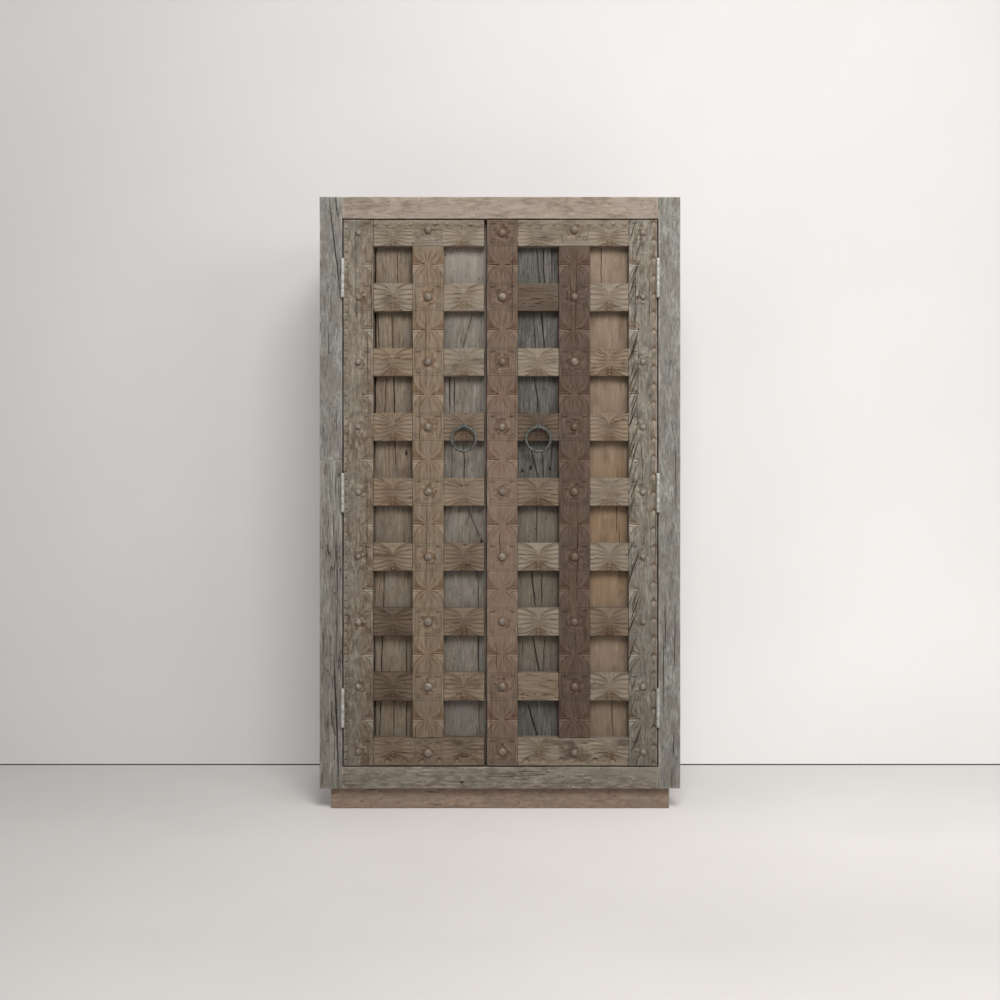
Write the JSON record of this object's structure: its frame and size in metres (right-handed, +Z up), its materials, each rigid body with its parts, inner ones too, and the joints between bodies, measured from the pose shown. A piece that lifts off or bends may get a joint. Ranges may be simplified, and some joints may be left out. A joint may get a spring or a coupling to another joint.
{
  "type": "two-door bookcase",
  "caption": "Tall timber bookcase with shelves behind a pair of studded lattice doors on butt hinges, opened by iron ring pulls.",
  "frame": {"origin": "on the floor, under the middle of the bounding box", "axes": "+Z up, -Y towards the doors, +X to the right seen from the front"},
  "size_m": [1, 0.4692, 1.7],
  "materials": {
    "grey_timber": "weathered bare timber",
    "pale_timber": "weathered bare timber",
    "brown_timber": "worn waxed timber",
    "dark_timber": "worn waxed timber",
    "plank_timber": "weathered bare timber",
    "bright_steel": "satin",
    "dark_iron": "worn forged"
  },
  "bodies": {
    "case": {"plinth_front": "brown_timber", "plinth_rear": "brown_timber", "plinth_left": "brown_timber", "plinth_right": "brown_timber", "floor_board": "plank_timber", "top_board": "pale_timber", "side_left": "grey_timber", "side_right": "grey_timber", "back_panel": "plank_timber", "left_stile_upper": "grey_timber", "left_stile_lower": "grey_timber", "right_stile": "grey_timber", "head_rail": "pale_timber", "sill_rail": "grey_timber", "shelf_1": "plank_timber", "shelf_2": "plank_timber", "shelf_3": "plank_timber", "left_upper_hinge_frame_leaf": "bright_steel", "left_middle_hinge_frame_leaf": "bright_steel", "left_lower_hinge_frame_leaf": "bright_steel", "right_upper_hinge_frame_leaf": "bright_steel", "right_middle_hinge_frame_leaf": "bright_steel", "right_lower_hinge_frame_leaf": "bright_steel"},
    "left_door": {"left_door_hinge_stile": "plank_timber", "left_door_mid_strip": "brown_timber", "left_door_top_rail": "brown_timber", "left_door_rail_1": "brown_timber", "left_door_rail_2": "brown_timber", "left_door_rail_3": "brown_timber", "left_door_rail_4": "brown_timber", "left_door_rail_5": "brown_timber", "left_door_rail_6": "brown_timber", "left_door_rail_7": "brown_timber", "left_door_bottom_rail": "brown_timber", "left_door_outer_plank": "plank_timber", "left_door_inner_plank": "grey_timber", "left_upper_hinge_door_leaf": "bright_steel", "left_middle_hinge_door_leaf": "bright_steel", "left_lower_hinge_door_leaf": "bright_steel", "left_ring_eye": "dark_iron"},
    "right_door": {"right_door_hinge_stile": "grey_timber", "right_door_mid_strip": "dark_timber", "right_door_meeting_strip": "dark_timber", "right_door_top_rail": "plank_timber", "right_door_rail_1": "plank_timber", "right_door_rail_2": "plank_timber", "right_door_rail_3": "plank_timber", "right_door_rail_4": "plank_timber", "right_door_rail_5": "plank_timber", "right_door_rail_6": "plank_timber", "right_door_rail_7": "plank_timber", "right_door_bottom_rail": "plank_timber", "right_door_outer_plank": "pale_timber", "right_door_inner_plank": "grey_timber", "right_upper_hinge_door_leaf": "bright_steel", "right_middle_hinge_door_leaf": "bright_steel", "right_lower_hinge_door_leaf": "bright_steel", "right_ring_eye": "dark_iron"},
    "left_ring": {"left_ring": "dark_iron"},
    "right_ring": {"right_ring": "dark_iron"}
  },
  "joints": [
    {"name": "left_door_hinge", "type": "hinge", "parent": "case", "child": "left_door", "pos_m": [-0.4355, -0.2207, 0.88], "axis": [0, 0, -1], "range_deg": [0, 170]},
    {"name": "right_door_hinge", "type": "hinge", "parent": "case", "child": "right_door", "pos_m": [0.4375, -0.2207, 0.88], "axis": [0, 0, 1], "range_deg": [0, 170]},
    {"name": "left_ring_swing", "type": "hinge", "parent": "left_door", "child": "left_ring", "pos_m": [-0.10006, -0.2244, 1.06173], "axis": [-1, 0, 0], "range_deg": [0, 120]},
    {"name": "right_ring_swing", "type": "hinge", "parent": "right_door", "child": "right_ring", "pos_m": [0.10606, -0.2244, 1.06173], "axis": [-1, 0, 0], "range_deg": [0, 120]}
  ]
}
